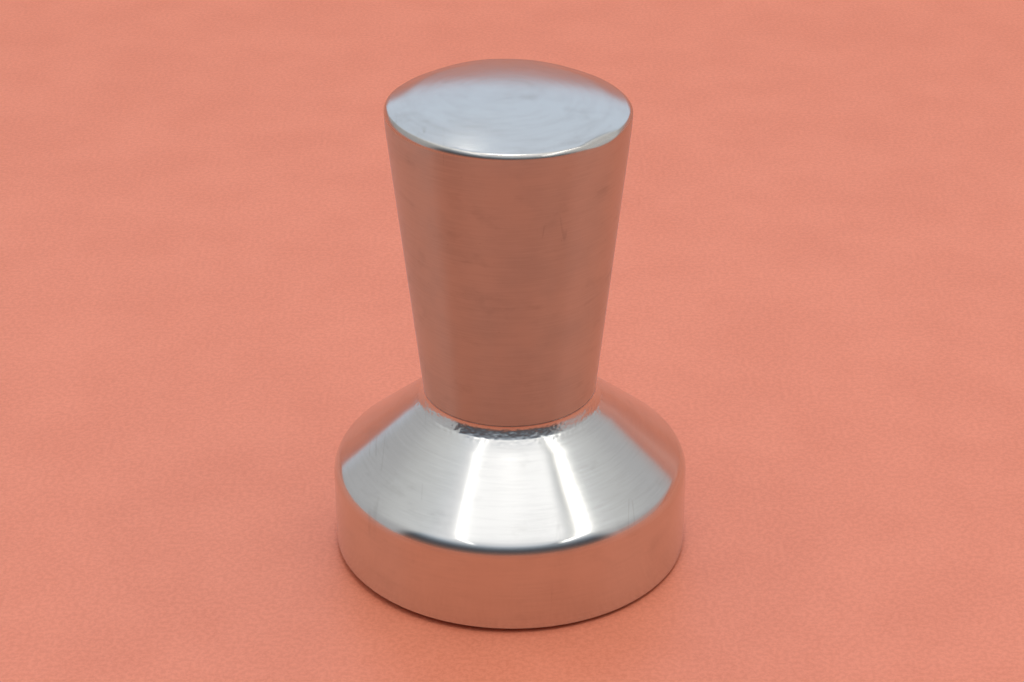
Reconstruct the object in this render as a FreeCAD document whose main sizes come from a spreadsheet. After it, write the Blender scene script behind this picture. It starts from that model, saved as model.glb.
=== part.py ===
import FreeCAD, Part
import Sketcher
import math
import os

# Espresso tamper for a 58 mm portafilter basket, turned from aluminium in two pieces.
# The base has a flat tamping face, a straight wall and a conical shoulder that runs up to a
# neck. The handle is a cone that widens upwards to a crowned top. The two meet in one plane
# at the neck, where a headless M10 stud screws into a blind hole in each of them.
# Origin: centre of the tamping face. +Z: up the axis. All three pieces are coaxial with Z.

DIMENSIONS = [
    # alias, value in millimetres or degrees, what it is
    ("base_radius", 29.0, "radius of the wall that enters the basket"),
    ("base_chamfer", 1.0, "chamfer round the tamping face"),
    ("wall_height", 13.5, "top of the straight wall"),
    ("shoulder_round", 3.3, "radius between the wall and the shoulder"),
    ("shoulder_slope", 39.8, "angle of the conical shoulder above level"),
    ("neck_radius", 14.0, "radius where the base and the handle meet"),
    ("neck_round", 2.2, "hollow radius between the shoulder and the neck"),
    ("neck_height", 28.8, "height of the plane where they meet"),
    ("joint_chamfer", 0.15, "broken edge on each side of that plane"),
    ("rim_radius", 19.05, "largest radius of the handle"),
    ("rim_height", 47.8, "rim of the handle above the neck plane"),
    ("bevel_width", 0.85, "bevel of the rim, measured across the axis"),
    ("bevel_height", 1.1, "bevel of the rim, measured along the axis"),
    ("crown_radius", 86.0, "spherical radius of the top"),
    ("thread_radius", 5.0, "outer radius of the M10 x 1.5 stud"),
    ("thread_clearance", 0.05, "radial gap between the stud and its holes"),
    ("thread_chamfer", 0.9, "chamfer on both ends of the stud"),
    ("stud_length", 28.0, "length of the stud"),
    ("stud_bottom", 14.3, "height of the stud's lower end"),
    ("base_hole_depth", 16.0, "full-width depth of the hole in the base"),
    ("handle_hole_depth", 15.0, "full-width depth of the hole in the handle"),
    ("drill_point", 118.0, "included angle at the bottom of both holes"),
    ("mouth_radius", 5.6, "radius of the countersink at both mouths"),
    ("socket_width", 5.0, "hexagon socket of the stud, across its flats"),
    ("socket_depth", 5.0, "depth of that socket"),
]

ORIGIN_POINT = (-1, 1)
LEVEL_AXIS, UPRIGHT_AXIS = -1, -2
START, END, CENTRE = 1, 2, 3
SAME_PLACE = 1e-4
UP = FreeCAD.Vector(0, 0, 1)


def fill_sheet(doc):
    """Keep every driving dimension in a spreadsheet cell that has an alias."""
    sheet = doc.addObject("Spreadsheet::Sheet", "Dimensions")
    for row, (alias, value, meaning) in enumerate(DIMENSIONS, start=1):
        sheet.set(f"A{row}", alias)
        sheet.set(f"B{row}", str(value))
        sheet.set(f"C{row}", meaning)
        sheet.setAlias(f"B{row}", alias)
    doc.recompute()
    return sheet


def bind(thing, prop, formula):
    """Bind a property to a formula, in which $name stands for a cell of the sheet."""
    thing.setExpression(prop, formula.replace("$", "Dimensions."))


def add_body(doc, label):
    body = doc.addObject("PartDesign::Body", label)
    body.Label = label
    return body


def add_sketch(body, name, plane_role, height=None):
    """Add a sketch on one of the body's origin planes, lifted to a height if one is given."""
    sketch = body.newObject("Sketcher::SketchObject", name)
    plane = next(f for f in body.Origin.OriginFeatures if f.Role == plane_role)
    sketch.AttachmentSupport = [(plane, "")]
    sketch.MapMode = "FlatFace"
    if height is not None:
        bind(sketch, "AttachmentOffset.Base.z", height)
    return sketch


def constrain(sketch, kind, *arguments):
    return sketch.addConstraint(Sketcher.Constraint(kind, *arguments))


def drive(sketch, kind, arguments, name, formula):
    """Add a named dimension to a sketch and bind it to the sheet."""
    sketch.renameConstraint(constrain(sketch, kind, *arguments), name)
    bind(sketch, f"Constraints.{name}", formula)


def span(sketch, kind, first, second, name, formula):
    """Bind the distance from one point to another along X or Y."""
    gap = sketch.getPoint(*second) - sketch.getPoint(*first)
    start_value = gap.x if kind == "DistanceX" else gap.y
    drive(sketch, kind, (*first, *second, start_value), name, formula)


def draw_lines(sketch, corners):
    """Draw lines through the corners, joined end to end, and return their numbers."""
    points = [FreeCAD.Vector(x, y, 0) for x, y in corners]
    lines = []
    for start, end in zip(points, points[1:]):
        lines.append(sketch.addGeometry(Part.LineSegment(start, end)))
    for before, after in zip(lines, lines[1:]):
        constrain(sketch, "Coincident", before, END, after, START)
    return lines


def draw_arc(sketch, centre_x, centre_y, radius, first_angle, last_angle):
    """Draw an arc that runs anticlockwise between two angles in degrees."""
    circle = Part.Circle(FreeCAD.Vector(centre_x, centre_y, 0), UP, radius)
    ends = math.radians(first_angle), math.radians(last_angle)
    return sketch.addGeometry(Part.ArcOfCircle(circle, *ends))


def draw_circle(sketch, start_radius, formula):
    """Draw a circle about the sketch's origin, with its radius bound to a formula."""
    circle = sketch.addGeometry(Part.Circle(FreeCAD.Vector(), UP, start_radius))
    constrain(sketch, "Coincident", circle, CENTRE, *ORIGIN_POINT)
    drive(sketch, "Radius", (circle, start_radius), "radius", formula)
    return circle


def revolve(body, outline, name):
    """Turn a half outline once round the axis."""
    turned = body.newObject("PartDesign::Revolution", name)
    turned.Profile = outline
    turned.ReferenceAxis = (outline, ["V_Axis"])
    turned.Angle = 360.0
    body.Document.recompute()
    return turned


def ring_edge(feature, corner):
    """Find the circular edge that a corner of the outline, (radius, height), leaves."""
    for number, edge in enumerate(feature.Shape.Edges, start=1):
        if isinstance(edge.Curve, Part.Circle):
            radius_error = abs(edge.Curve.Radius - corner[0])
            height_error = abs(edge.Curve.Center.z - corner[1])
            if max(radius_error, height_error) < SAME_PLACE:
                return f"Edge{number}"
    raise ValueError(f"{feature.Name} has no ring edge at {corner}")


def chamfer(body, name, base, corners, formula):
    """Chamfer the ring edges at the given corners of the outline."""
    feature = body.newObject("PartDesign::Chamfer", name)
    feature.Base = (base, [ring_edge(base, corner) for corner in corners])
    bind(feature, "Size", formula)
    body.Document.recompute()
    return feature


def drill(body, name, height, depth, upwards):
    """Drill a blind hole on the axis, with a drill point and a countersunk mouth."""
    mouth = add_sketch(body, f"{name}_mouth", "XY_Plane", height)
    draw_circle(mouth, 1.0, "$thread_radius")
    body.Document.recompute()
    hole = body.newObject("PartDesign::Hole", name)
    hole.Profile = mouth
    hole.Threaded = False
    hole.DepthType = "Dimension"
    hole.Reversed = upwards
    bind(hole, "Diameter", "2 * ($thread_radius + $thread_clearance)")
    bind(hole, "Depth", depth)
    hole.DrillPoint = "Angled"
    bind(hole, "DrillPointAngle", "$drill_point * 1 deg")
    hole.HoleCutType = "Countersink"
    hole.HoleCutCountersinkAngle = 90.0
    bind(hole, "HoleCutDiameter", "2 * $mouth_radius")
    body.Document.recompute()


def make_base(doc, size):
    """Tamping face, wall, rounded shoulder, hollow fillet and neck."""
    body = add_body(doc, "tamper_base")
    outline = add_sketch(body, "base_outline", "XZ_Plane")
    base_radius, neck_radius = size("base_radius"), size("neck_radius")
    wall_height, neck_height = size("wall_height"), size("neck_height")
    neck, top, axis, floor, wall = draw_lines(outline, [
        (neck_radius, neck_height - 1),
        (neck_radius, neck_height),
        (0, neck_height),
        (0, 0),
        (base_radius, 0),
        (base_radius, wall_height),
    ])
    [shoulder] = draw_lines(outline, [(base_radius - 1, wall_height + 1),
                                      (neck_radius + 1, neck_height - 2)])
    lean = 90 - size("shoulder_slope")
    rounding = draw_arc(outline, base_radius - size("shoulder_round"), wall_height,
                        size("shoulder_round"), 0, lean)
    hollow = draw_arc(outline, neck_radius + size("neck_round"), neck_height - 1,
                      size("neck_round"), 180, 180 + lean)
    constrain(outline, "Coincident", axis, END, *ORIGIN_POINT)
    for line in (floor, top):
        constrain(outline, "Horizontal", line)
    for line in (wall, neck, axis):
        constrain(outline, "Vertical", line)
    constrain(outline, "Tangent", wall, END, rounding, START)
    constrain(outline, "Tangent", rounding, END, shoulder, START)
    constrain(outline, "Tangent", shoulder, END, hollow, END)
    constrain(outline, "Tangent", hollow, START, neck, START)
    span(outline, "DistanceX", (floor, START), (floor, END), "base_radius", "$base_radius")
    span(outline, "DistanceX", (top, END), (top, START), "neck_radius", "$neck_radius")
    span(outline, "DistanceY", (wall, START), (wall, END), "wall_height", "$wall_height")
    span(outline, "DistanceY", (axis, END), (axis, START), "neck_height", "$neck_height")
    drive(outline, "Angle", (shoulder, math.radians(90 + lean)), "shoulder_lean",
          "(180 - $shoulder_slope) * 1 deg")
    drive(outline, "Radius", (rounding, size("shoulder_round")), "rounding",
          "$shoulder_round")
    drive(outline, "Radius", (hollow, size("neck_round")), "hollow", "$neck_round")
    turned = revolve(body, outline, "base_turning")

    chamfered = chamfer(body, "face_edge", turned, [(base_radius, 0)], "$base_chamfer")
    chamfer(body, "neck_edge", chamfered, [(neck_radius, neck_height)], "$joint_chamfer")
    drill(body, "stud_hole", "$neck_height", "$base_hole_depth", upwards=False)
    return body


def make_handle(doc, size):
    """Cone with a bevelled rim and a crowned top, drawn from its lower end upwards."""
    body = add_body(doc, "handle")
    outline = add_sketch(body, "handle_outline", "XZ_Plane")
    crown_edge = size("rim_radius") - size("bevel_width")
    crown_foot = size("rim_height") + size("bevel_height")
    crown_radius = size("crown_radius")
    half_angle = math.asin(crown_edge / crown_radius)
    crown_centre = crown_foot - crown_radius * math.cos(half_angle)
    axis, end, side, bevel = draw_lines(outline, [
        (0, crown_centre + crown_radius),
        (0, 0),
        (size("neck_radius"), 0),
        (size("rim_radius"), size("rim_height")),
        (crown_edge, crown_foot),
    ])
    crown = draw_arc(outline, 0, crown_centre, crown_radius, 90 - math.degrees(half_angle), 90)
    constrain(outline, "Coincident", bevel, END, crown, START)
    constrain(outline, "Coincident", crown, END, axis, START)
    constrain(outline, "PointOnObject", crown, CENTRE, UPRIGHT_AXIS)
    constrain(outline, "Coincident", end, START, *ORIGIN_POINT)
    constrain(outline, "Vertical", axis)
    constrain(outline, "Horizontal", end)
    span(outline, "DistanceX", (end, START), (end, END), "neck_radius", "$neck_radius")
    span(outline, "DistanceX", (end, START), (side, END), "rim_radius", "$rim_radius")
    span(outline, "DistanceY", (end, START), (side, END), "rim_height", "$rim_height")
    span(outline, "DistanceX", (bevel, END), (bevel, START), "bevel_width", "$bevel_width")
    span(outline, "DistanceY", (bevel, START), (bevel, END), "bevel_height", "$bevel_height")
    drive(outline, "Radius", (crown, crown_radius), "crown_radius", "$crown_radius")
    turned = revolve(body, outline, "handle_turning")

    chamfer(body, "neck_edge", turned, [(size("neck_radius"), 0)], "$joint_chamfer")
    drill(body, "stud_hole", None, "$handle_hole_depth", upwards=True)
    bind(body, "Placement.Base.z", "$neck_height")
    return body


def make_stud(doc, size):
    """Headless stud with chamfered ends and a hexagon socket, drawn from its lower end."""
    body = add_body(doc, "threaded_stud")
    section = add_sketch(body, "stud_section", "XY_Plane")
    draw_circle(section, size("thread_radius"), "$thread_radius")
    rod = body.newObject("PartDesign::Pad", "stud_rod")
    rod.Profile = section
    bind(rod, "Length", "$stud_length")
    doc.recompute()
    ends = [(size("thread_radius"), 0), (size("thread_radius"), size("stud_length"))]
    chamfer(body, "stud_ends", rod, ends, "$thread_chamfer")

    hexagon = add_sketch(body, "socket_section", "XY_Plane", "$stud_length")
    corner_radius = size("socket_width") / math.sqrt(3)
    corners = []
    for step in range(7):
        turn = math.radians(60 * step)
        corners.append((corner_radius * math.cos(turn), corner_radius * math.sin(turn)))
    sides = draw_lines(hexagon, corners)
    constrain(hexagon, "Coincident", sides[-1], END, sides[0], START)
    constrain(hexagon, "PointOnObject", sides[0], START, LEVEL_AXIS)
    circle = draw_circle(hexagon, corner_radius, "$socket_width / sqrt(3)")
    hexagon.toggleConstruction(circle)
    for side in sides:
        constrain(hexagon, "PointOnObject", side, START, circle)
    for side in sides[1:]:
        constrain(hexagon, "Equal", sides[0], side)
    socket = body.newObject("PartDesign::Pocket", "hexagon_socket")
    socket.Profile = hexagon
    bind(socket, "Length", "$socket_depth")
    doc.recompute()
    bind(body, "Placement.Base.z", "$stud_bottom")
    return body


def check(doc, pieces):
    """Stop if a feature failed or a piece isn't one valid solid."""
    for item in doc.Objects:
        if {"Invalid", "Error"} & set(item.State):
            raise RuntimeError(f"{item.Name} failed: {item.State}")
    for piece in pieces:
        shape = piece.Shape
        if shape.isNull() or not shape.isValid() or len(shape.Solids) != 1:
            raise RuntimeError(f"{piece.Label} is not one valid solid")


def main():
    doc = FreeCAD.newDocument("espresso_tamper")
    size = fill_sheet(doc).get
    pieces = [make_base(doc, size), make_stud(doc, size), make_handle(doc, size)]
    doc.recompute()
    check(doc, pieces)
    os.makedirs("parts", exist_ok=True)
    for piece in pieces:
        piece.Shape.exportStep(f"parts/{piece.Label}.step")
        box = piece.Shape.BoundBox
        print(f"{piece.Label}: {piece.Shape.Volume:.1f} mm3, z {box.ZMin:.3f} to {box.ZMax:.3f}")


main()
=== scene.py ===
import math

import bmesh
import bpy
from mathutils import Matrix, Vector, noise


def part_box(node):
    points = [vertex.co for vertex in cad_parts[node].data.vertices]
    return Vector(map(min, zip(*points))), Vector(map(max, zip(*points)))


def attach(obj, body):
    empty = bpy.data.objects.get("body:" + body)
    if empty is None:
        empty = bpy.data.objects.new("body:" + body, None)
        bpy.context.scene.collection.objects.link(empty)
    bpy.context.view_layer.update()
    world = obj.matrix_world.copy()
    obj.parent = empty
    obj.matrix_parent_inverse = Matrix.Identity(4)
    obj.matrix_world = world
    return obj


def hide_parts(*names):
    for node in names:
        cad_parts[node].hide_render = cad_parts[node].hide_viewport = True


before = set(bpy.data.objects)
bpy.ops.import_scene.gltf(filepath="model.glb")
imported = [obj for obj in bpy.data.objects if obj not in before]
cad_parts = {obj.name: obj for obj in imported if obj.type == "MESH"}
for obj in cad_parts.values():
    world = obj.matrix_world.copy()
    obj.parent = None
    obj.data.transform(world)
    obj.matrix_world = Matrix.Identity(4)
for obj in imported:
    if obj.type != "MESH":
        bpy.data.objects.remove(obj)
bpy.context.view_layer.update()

# Espresso tamper. The pieces are worked out in millimetres, the studio in metres.
MM = 0.001
NECK_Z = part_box("tamper_base")[1].z / MM
STUD_LOW_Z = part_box("threaded_stud")[0].z / MM
STUD_TOP_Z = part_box("threaded_stud")[1].z / MM

BASE_RADIUS = 28.99
LOWER_EDGE = ((27.3, 0), (BASE_RADIUS, 1.2))    # the bevel round the tamping face
WALL_CORNER_Z = 15.04
SHOULDER_ROUND = 3.3
HOLLOW_LOW_Z = 26.1
NECK_RADIUS = 14.0
CONE_HEIGHT = 47.8
RIM_RADIUS = 19.05
RIM_Z = NECK_Z + CONE_HEIGHT
CREASE_RADIUS = 18.60                           # where the rim turns into the crown
CROWN_Z = RIM_Z + 3.05                          # top of the crown
CROWN_RADIUS = 86.0
CROWN_RINGS = (17.7, 16.9, 16, 15, 14, 12.5, 11, 9.5, 8, 6.5, 5, 3.5, 2.2, 1.0, 0)
# The crown was ground by hand: it slopes down towards +X and -Y, and its rim has one flat.
CROWN_TILT = (math.tan(math.radians(1.2)), -math.tan(math.radians(0.3)))
CROWN_DROP = 0.04                               # keeps the tilted crown inside the CAD box
FLAT_SIDE, FLAT_RISE = 49, 52                   # the way the flat faces, in degrees
FLAT_DEPTH = 0.10
FLAT_SOFTNESS = 0.05
WORN_DEPTH, WORN_MORE_LEFT = 0.42, 0.16
CROWN_FINISH_Z = (76.5, 77.1)                   # between them the cone's finish ends
WAVE = 0.012                                    # unevenness of the polished surfaces

# Outline below the joint, downwards: length, lean of the outward normal at its start and end.
HOLLOW = ((0.15, 0, 0), (0.75, 0, 28), (0.75, 28, 31), (0.5, 31, 38), (0.1, 38, 53),
          (0.15, 53, 47.5), (0.9, 47.5, 48.2), (2.2, 48.2, 51.4))
# The same for the rim of the handle, from the crease round the crown down to the cone.
RIM = ((0.1, 54, 46), (0.2, 46, 37), (0.25, 37, 29), (0.25, 29, 18), (0.2, 18, 0),
       (1.2, 0, -4), (2.0, -4, -6))
# M10 x 1.5 thread: rows of vertices in one pitch, as (place in the pitch, height of the ridge).
PITCH = 1.5
RIDGE = ((0.0, 1.0), (0.13, 1.0), (0.28, 0.5), (0.43, 0.0), (0.57, 0.0), (0.72, 0.5), (0.87, 1.0))
STUD_ROOT, STUD_CREST = 4.08, 4.98
HOLE_CREST, HOLE_ROOT = 4.19, 5.05
MOUTH_RADIUS = 5.6
THREAD_RUN_OUT = 1.1
# Blind end of a hole: radius and place of its shoulder, place of its point, past the thread.
DRILL_RADIUS, DRILL_SHOULDER, DRILL_POINT = 2.1, 1.3, 2.5
BASE_THREAD_END = 12.8
HANDLE_THREAD_END = NECK_Z + 15

STUD_END_RADIUS = 4.0
SOCKET_HALF_WIDTH = 2.5
SOCKET_DEPTH = 5.0
SOCKET_BEVEL = 0.4
SOCKET_POINT = 0.8

ROUND = 480                                     # vertices round the outside of a piece
BORE = 120                                      # vertices round its thread


def smooth(value):
    """0 below 0, 1 above 1, smooth between."""
    value = min(1.0, max(0.0, value))
    return value * value * (3 - 2 * value)


def direction(side, rise):
    """Unit vector; side is in degrees from the camera's side towards +X, rise above the floor."""
    a, e = math.radians(side), math.radians(rise)
    return Vector((math.sin(a) * math.cos(e), -math.cos(a) * math.cos(e), math.sin(e)))


# ---------------------------------------------------------------- meshes

def rounded_outline(corners, step):
    """Half section as (r, z) points: each corner (r, z, radius) becomes an arc, runs are divided."""
    points = [Vector(corners[0][:2])]
    for before, corner, after in zip(corners, corners[1:], corners[2:]):
        here = Vector(corner[:2])
        back = (Vector(before[:2]) - here).normalized()
        ahead = (Vector(after[:2]) - here).normalized()
        turn = math.pi - back.angle(ahead)
        if corner[2] == 0 or turn < 1e-3:
            points.append(here)
            continue
        reach = corner[2] * math.tan(turn / 2)
        centre = here + (back + ahead).normalized() * corner[2] / math.cos(turn / 2)
        first = here + back * reach - centre
        last = here + ahead * reach - centre
        pieces = max(3, math.ceil(math.degrees(turn) / 4))
        for k in range(pieces + 1):
            a, b = math.sin((1 - k / pieces) * turn), math.sin(k / pieces * turn)
            points.append(centre + (first * a + last * b) / math.sin(turn))
    points.append(Vector(corners[-1][:2]))
    divided = [points[0]]
    for a, b in zip(points, points[1:]):
        pieces = max(1, math.ceil((b - a).length / step))
        divided += [a.lerp(b, (k + 1) / pieces) for k in range(pieces)]
    return divided


class Turning:
    """Mesh of revolution, made ring after ring. A ring's list of vertices ends with the one that
    closes it, which on a thread lies one pitch further along."""

    def __init__(self):
        self.points = []
        self.faces = []
        self.last = None

    def add(self, count, place):
        first = len(self.points)
        self.points += [place(2 * math.pi * k / count) for k in range(count)]
        return list(range(first, first + count)) + [first]

    def join(self, ring):
        """Join a ring on to the last one; one has the same number of vertices or a multiple."""
        low, self.last = self.last, ring
        if low is None:
            return
        a, b = len(low) - 1, len(ring) - 1
        if a == b:
            self.faces += [(low[k], low[k + 1], ring[k + 1], ring[k]) for k in range(a)]
            return
        fine, coarse = (low, ring) if a > b else (ring, low)
        ratio = (len(fine) - 1) // (len(coarse) - 1)
        for k in range(len(coarse) - 1):
            middle = k * ratio + ratio // 2
            for j in range(k * ratio, (k + 1) * ratio):
                self.faces.append((fine[j], fine[j + 1], coarse[k] if j < middle else coarse[k + 1]))
            if len(coarse) > 2:
                self.faces.append((fine[middle], coarse[k + 1], coarse[k]))

    def ring(self, count, r, z):
        self.join(self.add(count, lambda turn: (r * math.cos(turn), r * math.sin(turn), z)))

    def outline(self, points, fine_from):
        for r, z in points:
            count = ROUND if r > fine_from else BORE if r > 0.01 else 1
            self.ring(count, r, z)

    def thread(self, start, end, radius):
        """Helical rows from z start to z end. Rows past an end lie on it, and are merged there."""
        low, high = min(start, end), max(start, end)
        first_turn = math.floor(low / PITCH) - 2
        last_turn = math.ceil(high / PITCH) + 1
        rows = []
        for turn in range(first_turn, last_turn + 1):
            for share, ridge in RIDGE:
                def place(angle, along=turn + share, ridge=ridge):
                    z = min(high, max(low, PITCH * (along + angle / (2 * math.pi))))
                    r = radius(ridge, z)
                    return (r * math.cos(angle), r * math.sin(angle), z)
                rows.append(self.add(BORE, place))
        for row, ring in enumerate(rows):
            ring[-1] = rows[min(len(rows) - 1, row + len(RIDGE))][0]
        for ring in rows if end > start else reversed(rows):
            self.join(ring)

    def shape(self, change):
        self.points = [change(*point) for point in self.points]

    def build(self, name, material):
        mesh = bpy.data.meshes.new(name)
        mesh.from_pydata([Vector(p) * MM for p in self.points], [], self.faces)
        work = bmesh.new()
        work.from_mesh(mesh)
        bmesh.ops.remove_doubles(work, verts=work.verts, dist=3e-7)
        bmesh.ops.dissolve_degenerate(work, edges=work.edges, dist=1e-7)
        bmesh.ops.recalc_face_normals(work, faces=work.faces)
        work.to_mesh(mesh)
        work.free()
        mesh.shade_smooth()
        mesh.set_sharp_from_angle(angle=math.radians(32))
        mesh.materials.append(material)
        piece = bpy.data.objects.new(name, mesh)
        bpy.context.scene.collection.objects.link(piece)
        return piece


def hole_radius(mouth_z, end_z):
    """Radius of a tapped hole at a height, with its countersink and the run-out at its end."""
    def radius(ridge, z):
        run_out = smooth(abs(z - end_z) / THREAD_RUN_OUT)
        countersink = MOUTH_RADIUS - abs(z - mouth_z)
        return max(countersink, HOLE_CREST + (HOLE_ROOT - HOLE_CREST) * ridge * run_out)
    return radius


def leaning_outline(r, z, runs):
    """Outline that starts at (r, z) and goes down, from the lean of the surface along it. It is
    given from the bottom up."""
    points = [(r, z, 0)]
    for length, lean_from, lean_to in runs:
        steps = max(1, math.ceil(min(length / 0.1, 2 + 2 * abs(lean_to - lean_from))))
        for k in range(steps):
            lean = math.radians(lean_from + (lean_to - lean_from) * (k + 0.5) / steps)
            r += math.sin(lean) * length / steps
            z -= math.cos(lean) * length / steps
            points.append((r, z, 0))
    return points[::-1]


def make_base():
    """Base: flat face, wall, conical shoulder, hollow of the neck, tapped hole."""
    turned = Turning()
    turned.outline(rounded_outline([
        (0, 0, 0), *((r, z, 0.3) for r, z in LOWER_EDGE),
        (BASE_RADIUS, WALL_CORNER_Z, SHOULDER_ROUND),
        *leaning_outline(NECK_RADIUS, NECK_Z - 0.02, HOLLOW),
        (NECK_RADIUS - 0.03, NECK_Z, 0), (MOUTH_RADIUS, NECK_Z, 0),
    ], step=0.8), fine_from=12.0)
    turned.thread(NECK_Z, BASE_THREAD_END, hole_radius(NECK_Z, BASE_THREAD_END))
    turned.ring(BORE, DRILL_RADIUS, BASE_THREAD_END - DRILL_SHOULDER)
    turned.ring(1, 0, BASE_THREAD_END - DRILL_POINT)

    def hand_finish(x, y, z):
        """The polishing wheel didn't reach the hollow of the neck, which stays rough."""
        r = math.hypot(x, y)
        if r < NECK_RADIUS - 0.1:
            return x, y, z
        hollow = smooth((z - HOLLOW_LOW_Z) / 0.4) * smooth((NECK_Z - 0.3 - z) / 0.3)
        rough = noise.noise((x * 1.9, y * 1.9, z * 1.9)) + 0.6 * noise.noise((x * 4.5, y * 4.5, z * 4))
        wave = WAVE * noise.noise((x / 6, y / 6, z / 5))
        wave *= smooth((z - 1.5) / 3) * smooth((27 - z) / 1.5)
        grow = 1 + (0.04 * hollow * rough + wave - WAVE / 2) / r
        if z < 2 and r > 27:
            # The bevel was filed by hand: more on one side than on the other.
            lower = 0.8 - 0.36 * (x / r * math.cos(0.5) + y / r * math.sin(-0.5))
            z *= lower + (1 - lower) * smooth((z - 1.1) / 0.9)
        return x * grow, y * grow, z

    turned.shape(hand_finish)
    return turned


def make_handle():
    """Handle: tapped hole, flared cone, rounded rim, crowned top that was ground by hand."""
    def crown(r):
        return (r, CROWN_Z - CROWN_RADIUS + math.sqrt(CROWN_RADIUS ** 2 - r * r), 0)

    turned = Turning()
    turned.ring(1, 0, HANDLE_THREAD_END + DRILL_POINT)
    turned.ring(BORE, DRILL_RADIUS, HANDLE_THREAD_END + DRILL_SHOULDER)
    turned.thread(HANDLE_THREAD_END, NECK_Z, hole_radius(NECK_Z, HANDLE_THREAD_END))
    turned.outline(rounded_outline([
        (MOUTH_RADIUS + 0.2, NECK_Z, 0), (NECK_RADIUS - 0.05, NECK_Z, 0),
        (NECK_RADIUS, NECK_Z + 0.05, 0), *leaning_outline(*crown(CREASE_RADIUS)[:2], RIM),
        *(crown(r) for r in CROWN_RINGS),
    ], step=0.5), fine_from=4.0)

    flat = direction(FLAT_SIDE, FLAT_RISE)
    rim = direction(FLAT_SIDE, 0) * RIM_RADIUS + Vector((0, 0, RIM_Z))
    flat_place = flat.dot(rim) - FLAT_DEPTH

    def worn(x, y):
        """Wear at the two back quarters of the crown's edge, deeper at the left one."""
        r = max(1e-6, math.hypot(x, y))
        bearing = math.degrees(abs(math.atan2(x, -y)))
        share = smooth((bearing - 84) / 40) * smooth((172 - bearing) / 35) * smooth((r - 15.2) / 4)
        return share * (WORN_DEPTH - WORN_MORE_LEFT * x / r)

    def hand_finish(x, y, z):
        """Slight waves on the cone, then the tilt, the wear and the flat at the top."""
        point = Vector((x, y, z))
        if z > NECK_Z + 1:
            wave = WAVE * noise.noise((x / 4, y / 4, z / 30)) * smooth((z - NECK_Z) / 6)
            point += Vector((x, y, 0)).normalized() * (wave - WAVE / 2)
        top = smooth((z - RIM_Z + 0.7) / 1.8)
        point.z -= top * (CROWN_TILT[0] * x + CROWN_TILT[1] * y + CROWN_DROP + worn(x, y))
        past = flat.dot(point) - flat_place
        if past > -0.2:
            point -= flat * (0.5 * (past + math.hypot(past, FLAT_SOFTNESS)))
        return tuple(point)

    turned.shape(hand_finish)
    return turned


def make_stud():
    """Headless M10 stud with chamfered ends and a hexagon socket in its upper end."""
    socket_z = STUD_TOP_Z - SOCKET_DEPTH

    def radius(ridge, z):
        chamfer = STUD_END_RADIUS + min(z - STUD_LOW_Z, STUD_TOP_Z - z)
        return min(chamfer, STUD_ROOT + (STUD_CREST - STUD_ROOT) * ridge)

    def hexagon(angle, z):
        r = SOCKET_HALF_WIDTH / math.cos(angle % (math.pi / 3) - math.pi / 6)
        return (r * math.cos(angle), r * math.sin(angle), z)

    turned = Turning()
    turned.ring(1, 0, STUD_LOW_Z)
    turned.ring(BORE, 2.0, STUD_LOW_Z)
    turned.thread(STUD_LOW_Z, STUD_TOP_Z, radius)
    turned.ring(BORE, 3.1, STUD_TOP_Z)
    turned.join(turned.add(BORE, lambda angle: hexagon(angle, STUD_TOP_Z - SOCKET_BEVEL)))
    turned.join(turned.add(BORE, lambda angle: hexagon(angle, socket_z)))
    turned.ring(BORE, 1.6, socket_z)
    turned.ring(1, 0, socket_z - SOCKET_POINT)
    return turned


# ---------------------------------------------------------------- materials

JOINT_DARK = (0.16, 0.12, 0.10)                       # the metal is darkened towards this colour along the joint between base and handle
STEEL, OILED_STEEL = (0.46, 0.46, 0.47), (0.25, 0.24, 0.23)
PAPER_PALE = (0.815, 0.253, 0.139)
PAPER_DARK = (0.69, 0.193, 0.097)


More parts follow.
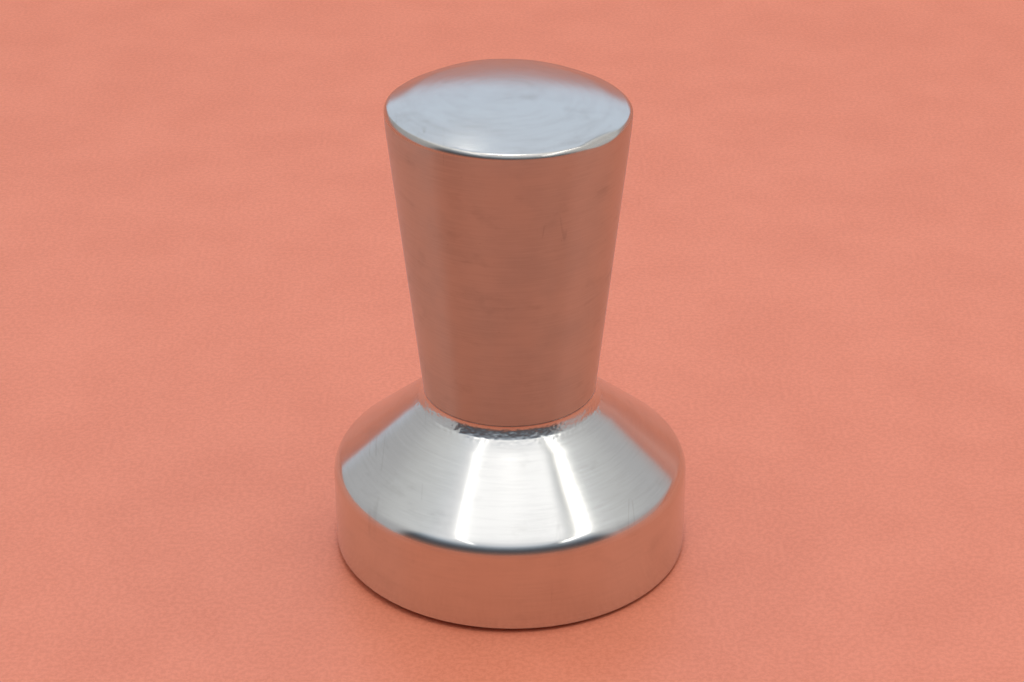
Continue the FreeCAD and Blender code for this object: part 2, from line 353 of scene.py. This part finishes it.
class Finish:
    """A material's node tree, with short calls for what the finishes share."""

    def __init__(self, name):
        self.material = bpy.data.materials.new(name)
        self.material.use_nodes = True
        self.tree = self.material.node_tree
        self.shader = self.tree.nodes["Principled BSDF"]
        self.place = self.add("ShaderNodeTexCoord").outputs["Object"]

    def add(self, kind, **values):
        node = self.tree.nodes.new(kind)
        for key, value in values.items():
            setattr(node, key, value)
        return node

    def link(self, source, target):
        self.tree.links.new(source, target)

    def math(self, operation, *operands):
        node = self.add("ShaderNodeMath", operation=operation)
        for socket, value in zip(node.inputs, operands):
            if isinstance(value, (int, float)):
                socket.default_value = value
            else:
                self.link(value, socket)
        return node.outputs[0]

    def between(self, low, high, value):
        """0 below low, 1 above high, smooth between."""
        node = self.add("ShaderNodeMapRange", interpolation_type="SMOOTHSTEP")
        node.inputs["From Min"].default_value = low
        node.inputs["From Max"].default_value = high
        self.link(value, node.inputs["Value"])
        return node.outputs["Result"]

    def grain(self, across, along, detail=2.0, rough=0.5, deep=None):
        """Noise with so many waves a millimetre across the axis and along it (deep: along Y)."""
        stretch = self.add("ShaderNodeMapping")
        stretch.inputs["Scale"].default_value = (across / MM, (deep or across) / MM, along / MM)
        self.link(self.place, stretch.inputs["Vector"])
        node = self.add("ShaderNodeTexNoise")
        node.inputs["Scale"].default_value = 1.0
        node.inputs["Detail"].default_value = detail
        node.inputs["Roughness"].default_value = rough
        self.link(stretch.outputs["Vector"], node.inputs["Vector"])
        return node.outputs["Fac"]

    def split(self):
        node = self.add("ShaderNodeSeparateXYZ")
        self.link(self.place, node.inputs[0])
        return node

    def turning_lines(self, per_mm):
        """Rings left by the turning tool: noise of one dimension along z - r."""
        split = self.split()
        flat = self.add("ShaderNodeCombineXYZ")
        self.link(split.outputs[0], flat.inputs[0])
        self.link(split.outputs[1], flat.inputs[1])
        radius = self.add("ShaderNodeVectorMath", operation="LENGTH")
        self.link(flat.outputs[0], radius.inputs[0])
        node = self.add("ShaderNodeTexNoise", noise_dimensions="1D")
        node.inputs["Scale"].default_value = per_mm / MM
        node.inputs["Detail"].default_value = 2.0
        self.link(self.math("SUBTRACT", split.outputs[2], radius.outputs["Value"]), node.inputs["W"])
        return node.outputs["Fac"]

    def total(self, *terms):
        """Sum of (factor, value) pairs and plain numbers."""
        result = 0.0
        for term in terms:
            value = self.math("MULTIPLY", term[1], term[0]) if isinstance(term, tuple) else term
            result = self.math("ADD", value, result)
        return result

    def colour(self, low, high, factor, darkening=None):
        """Base colour between two tones, and darkened towards a dark brown where the last factor is 1."""
        node = self.add("ShaderNodeMix", data_type="RGBA")
        node.inputs["A"].default_value = (*low, 1)
        node.inputs["B"].default_value = (*high, 1)
        self.link(factor, node.inputs["Factor"])
        if darkening is not None:
            clean, node = node, self.add("ShaderNodeMix", data_type="RGBA")
            node.inputs["B"].default_value = (*JOINT_DARK, 1)
            self.link(clean.outputs["Result"], node.inputs["A"])
            self.link(darkening, node.inputs["Factor"])
        self.link(node.outputs["Result"], self.shader.inputs["Base Color"])

    def bump(self, height, depth):
        node = self.add("ShaderNodeBump")
        node.inputs["Distance"].default_value = depth * MM
        self.link(height, node.inputs["Height"])
        self.link(node.outputs["Normal"], self.shader.inputs["Normal"])

    def set(self, **values):
        for key, value in values.items():
            self.shader.inputs[key.replace("_", " ")].default_value = value


def polished_metal(name, tone, shade, rough, spread, turning, change, brushed):
    """Turned metal polished by hand: turning lines, hazy patches, hairline scratches, smudges.
    change: heights between which the roughness changes, and by how much. brushed: heights between
    which the brushed look changes, and its strength below and above them."""
    f = Finish(name)
    lines = f.turning_lines(5.0)
    streaks = f.grain(0.16, 4.5, 3.0)
    haze = f.between(0.35, 0.75, f.grain(0.10, 0.12, 4.0, 0.55))
    smudge = f.between(0.54, 0.76, f.grain(0.16, 0.30, 5.0, 0.6))
    pits = f.between(0.72, 0.77, f.grain(1.5, 2.2))
    ridge = f.math("ABSOLUTE", f.math("SUBTRACT", f.grain(0.30, 0.012, 0.0, deep=0.012), 0.5))
    where = f.between(0.58, 0.68, f.grain(0.09, 0.12, 2.0))
    hairline = f.math("MULTIPLY", f.between(0.010, 0.004, ridge), where)
    height = f.math("DIVIDE", f.split().outputs[2], MM)
    from_joint = f.math("ABSOLUTE", f.math("SUBTRACT", height, NECK_Z))

    # The base colour is darkened half way towards a dark brown within about 0.2 mm of the joint between base
    # and handle.
    f.colour(tone, shade, f.total((0.4, smudge), (0.3, haze), (0.4, pits), (0.4, hairline),
                                  (0.8, f.math("SUBTRACT", streaks, 0.5))),
             f.math("MULTIPLY", f.between(0.22, 0.08, from_joint), 0.5))
    from_z, to_z, by = change
    f.link(f.total(rough, (0.55 * spread, haze), (0.35 * spread, streaks), (0.25 * spread, smudge),
                   (0.03, hairline), (by, f.between(from_z, to_z, height))),
           f.shader.inputs["Roughness"])
    f.bump(f.total((turning, lines), (0.6, streaks), (-0.25, hairline), (-0.2, pits), (0.5, haze)),
           depth=0.0017)
    tangent = f.add("ShaderNodeTangent", direction_type="RADIAL", axis="Z")
    f.link(tangent.outputs[0], f.shader.inputs["Tangent"])
    from_z, to_z, below, above = brushed
    fade = f.between(from_z, to_z, height)
    f.link(f.total(below, (above - below, fade)), f.shader.inputs["Anisotropic"])
    f.set(Metallic=1.0, Anisotropic_Rotation=0.25)
    return f.material


def thread_steel():
    """Plain steel with oil in patches."""
    f = Finish("thread_steel")
    oil = f.between(0.4, 0.7, f.grain(0.5, 0.7, 4.0))
    streaks = f.grain(0.3, 9.0)
    f.colour(STEEL, OILED_STEEL, oil)
    f.link(f.total(0.24, (0.16, streaks), (-0.08, oil)), f.shader.inputs["Roughness"])
    f.bump(f.total((0.6, streaks), (0.8, oil)), depth=0.004)
    f.set(Metallic=1.0)
    return f.material


def paper():
    """Salmon paper, slightly mottled."""
    f = Finish("backdrop_paper")
    mottle = f.between(0.3, 0.7, f.grain(0.05, 0.05, 5.0, 0.6))
    fibre = f.grain(1.3, 1.3, 3.0, 0.75)
    f.colour(PAPER_DARK, PAPER_PALE, f.total((0.35, mottle), (0.65, f.between(0.37, 0.63, fibre))))
    f.bump(fibre, depth=0.05)
    f.set(Roughness=0.42, Specular_IOR_Level=0.5)
    return f.material


# ---------------------------------------------------------------- the tamper

base = make_base().build("base_polished_metal", polished_metal(
    "base_metal_finish", tone=(0.69, 0.665, 0.61), shade=(0.56, 0.535, 0.485),
    rough=0.12, spread=0.06, turning=0.5, change=(20, 27, 0.03), brushed=(12, 18, 0.9, 0.75)))
handle = make_handle().build("handle_polished_metal", polished_metal(
    "handle_metal_finish", tone=(0.60, 0.563, 0.500), shade=(0.455, 0.414, 0.355),
    rough=0.31, spread=0.06, turning=0.35, change=(*CROWN_FINISH_Z, -0.11),
    brushed=(*CROWN_FINISH_Z, 0.95, 0.2)))
stud = make_stud().build("stud_threaded_steel", thread_steel())
for piece, node, body, slot in (
    (base, "tamper_base", "foot", "base_metal"),
    (handle, "handle", "handle", "handle_metal"),
    (stud, "threaded_stud", "stud", "stud_steel"),
):
    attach(piece, body)
    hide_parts(node)


# ---------------------------------------------------------------- studio

PANEL_HEIGHT = 0.9                              # of the panels overhead
STRIP_Y = (-0.80, 0.50)

# Half section of the paper, as (radius, height where it is turned up most), and its back.
PAPER_SWEEP = ((0.1, 0.0), (0.3, 0.0), (0.45, 0.0), (0.6, 0.015), (0.75, 0.06), (0.88, 0.14),
               (0.97, 0.24), (1.03, 0.36))
PAPER_SIDES = 96
PAPER_BACK = math.radians(75)                   # anticlockwise from +X

# Colours of the walls upwards, as (sine of the height above level, colour).
SIDE_WALLS = ((0.20, (0.50, 0.52, 0.57)), (0.51, (0.55, 0.57, 0.62)), (0.68, (0.69, 0.72, 0.77)),
              (0.85, (0.86, 0.91, 0.99)))
BACK_WALL = ((0.20, (0.77, 0.94, 1.20)), (0.80, (0.82, 0.96, 1.20)))
DARK_ROOM = ((0.00, (0.40, 0.18, 0.13)), (0.18, (0.17, 0.12, 0.12)), (0.36, (0.075, 0.075, 0.09)),
             (0.53, (0.15, 0.18, 0.23)), (0.66, (0.38, 0.45, 0.55)), (0.77, (0.82, 0.89, 1.02)),
             (0.84, (0.96, 1.00, 1.10)))
LIT_PAPER = (0.58, 0.36, 0.34)
UNLIT = (0.15, 0.17, 0.20)
# Where the walls meet, in degrees from the camera's side towards +X.
BACK_EDGE = (132, 152)
LEFT_EDGE = (-76, -64)
RIGHT_EDGE = (70, 54)

CAMERA_LENS = 84.375
CAMERA_DISTANCE = 0.40404
CAMERA_RISE = 32.749                            # degrees above level
CAMERA_ROLL = -0.213                            # degrees
CAMERA_TARGET = Vector((0.000407, 0, 0.03657))


def stage_mesh(name, points, faces, material):
    mesh = bpy.data.meshes.new(name)
    mesh.from_pydata(points, [], faces)
    mesh.shade_smooth()
    mesh.materials.append(material)
    thing = bpy.data.objects.new(name, mesh)
    bpy.context.scene.collection.objects.link(thing)


def make_floor():
    """Round sheet of paper, flat in front and turned up at its edge behind the tamper."""
    points = [(0, 0, 0)]
    faces = []
    for r, z in PAPER_SWEEP:
        for k in range(PAPER_SIDES):
            turn = 2 * math.pi * k / PAPER_SIDES
            behind = math.cos(turn - PAPER_BACK)
            turned_up = 0.8 * smooth((behind - 0.3) / 0.6) + 0.2 * smooth((behind + 0.7) / 0.6)
            points.append((r * math.cos(turn), r * math.sin(turn), z * turned_up))
    for k in range(PAPER_SIDES):
        after = (k + 1) % PAPER_SIDES
        faces.append((0, 1 + k, 1 + after))
        for row in range(len(PAPER_SWEEP) - 1):
            a, b = 1 + row * PAPER_SIDES, 1 + (row + 1) * PAPER_SIDES
            faces.append((a + k, b + k, b + after, a + after))
    stage_mesh("paper_floor", points, faces, paper())


def panel(name, x, y, radiance):
    """Panel overhead, level; x and y are the ranges it covers, as shares of its height."""
    light = bpy.data.lights.new(name, "AREA")
    light.shape = "RECTANGLE"
    light.size = (x[1] - x[0]) * PANEL_HEIGHT
    light.size_y = (y[1] - y[0]) * PANEL_HEIGHT
    light.energy = radiance * light.size * light.size_y * math.pi
    lamp = bpy.data.objects.new(name, light)
    lamp.location = (sum(x) / 2 * PANEL_HEIGHT, sum(y) / 2 * PANEL_HEIGHT, PANEL_HEIGHT)
    bpy.context.scene.collection.objects.link(lamp)


def small_lamp(name, towards, distance, width, radiance):
    """Round lamp in the direction towards, turned to the tamper."""
    light = bpy.data.lights.new(name, "AREA")
    light.shape = "DISK"
    light.size = width
    light.energy = radiance * math.pi * width ** 2 / 4 * math.pi
    lamp = bpy.data.objects.new(name, light)
    facing = towards.to_track_quat("Z", "Y").to_matrix().to_4x4()
    lamp.matrix_world = Matrix.Translation(towards * distance) @ facing
    bpy.context.scene.collection.objects.link(lamp)


def soft_sun(name, strength, width):
    """Light from straight above; width is the angle it covers, in degrees."""
    light = bpy.data.lights.new(name, "SUN")
    light.energy = strength
    light.angle = math.radians(width)
    bpy.context.scene.collection.objects.link(bpy.data.objects.new(name, light))


def make_world():
    """Studio walls: grey at the sides, bluish behind, and a dark room on the camera's side."""
    world = bpy.data.worlds.new("studio_walls")
    bpy.context.scene.world = world
    world.use_nodes = True
    tree = world.node_tree

    def add(kind, *sources, **values):
        node = tree.nodes.new(kind)
        for key, value in values.items():
            setattr(node, key, value)
        for socket, source in zip(node.inputs, sources):
            if isinstance(source, (int, float)):
                socket.default_value = source
            elif source is not None:
                tree.links.new(source, socket)
        return node

    def ramp(value, stops):
        node = add("ShaderNodeValToRGB", value)
        colours = node.color_ramp.elements
        for k, (place, colour) in enumerate(stops):
            stop = colours[k] if k < 2 else colours.new(place)
            stop.position, stop.color = place, (*colour, 1)
        return node.outputs[0]

    def plain(colour):
        node = add("ShaderNodeRGB")
        node.outputs[0].default_value = (*colour, 1)
        return node.outputs[0]

    def math_of(operation, *operands):
        return add("ShaderNodeMath", *operands, operation=operation).outputs[0]

    def edge(value, low, high):
        """0 at low, 1 at high, smooth between; high may be the smaller one."""
        node = add("ShaderNodeMapRange", value, low, high, interpolation_type="SMOOTHSTEP")
        return node.outputs["Result"]

    def blend(low, high, factor):
        node = add("ShaderNodeMix", data_type="RGBA")
        tree.links.new(factor, node.inputs["Factor"])
        tree.links.new(low, node.inputs["A"])
        tree.links.new(high, node.inputs["B"])
        return node.outputs["Result"]

    split = add("ShaderNodeSeparateXYZ", add("ShaderNodeTexCoord").outputs["Generated"])
    x, y, rise = split.outputs
    front = math_of("MULTIPLY", y, -1.0)
    side = math_of("ARCTAN2", x, front)
    walls = ramp(rise, SIDE_WALLS)
    back = ramp(rise, BACK_WALL)
    dark = ramp(rise, DARK_ROOM)
    behind = edge(math_of("ABSOLUTE", side), *map(math.radians, BACK_EDGE))
    left = edge(side, *map(math.radians, LEFT_EDGE))
    right = edge(side, *map(math.radians, RIGHT_EDGE))
    in_front = math_of("MULTIPLY", left, right)
    # Low at the right, the wall takes on the light of the paper.
    low_right = math_of("MULTIPLY", edge(rise, 0.42, 0.22), edge(x, 0.3, 0.6))
    # Overhead, beside the panel on the right, a strip stays unlit.
    across = math_of("DIVIDE", x, rise)
    gap = math_of("MULTIPLY", edge(across, 0.48, 0.51), edge(across, 0.62, 0.59))
    overhead = math_of("MULTIPLY", gap, edge(rise, 0.60, 0.75))
    colour = blend(walls, back, behind)
    colour = blend(colour, plain(LIT_PAPER), low_right)
    colour = blend(colour, dark, in_front)
    colour = blend(colour, plain(UNLIT), overhead)
    tree.links.new(colour, tree.nodes["Background"].inputs["Color"])


def make_camera():
    """Camera at the photograph's angle, about 33 degrees above level and 0.40 m away."""
    rise = math.radians(CAMERA_RISE)
    eye = Vector((0, -CAMERA_DISTANCE * math.cos(rise), CAMERA_DISTANCE * math.sin(rise) + 0.001))
    ahead = (CAMERA_TARGET - eye).normalized()
    right = ahead.cross(Vector((0, 0, 1))).normalized()
    turn = Matrix((right, right.cross(ahead), -ahead)).transposed().to_4x4()
    data = bpy.data.cameras.new("camera")
    data.lens = CAMERA_LENS
    data.sensor_width = 36
    data.clip_start, data.clip_end = 0.01, 20
    camera = bpy.data.objects.new("camera", data)
    camera.matrix_world = Matrix.Translation(eye) @ turn @ Matrix.Rotation(math.radians(CAMERA_ROLL), 4, "Z")
    bpy.context.scene.collection.objects.link(camera)
    bpy.context.scene.camera = camera


make_floor()
panel("overhead_strip", x=(-0.434, -0.395), y=STRIP_Y, radiance=3.0)
panel("overhead_middle", x=(-0.38, 0.435), y=(-0.44, -0.12), radiance=0.50)
panel("overhead_side", x=(0.545, 0.66), y=STRIP_Y, radiance=3.0)
soft_sun("overhead_soft", strength=0.75, width=12)
small_lamp("spot_behind", Vector((-0.095, 0.602, 0.793)), distance=0.9, width=0.05, radiance=5.0)
make_world()
make_camera()
bpy.context.scene.view_settings.view_transform = "Standard"
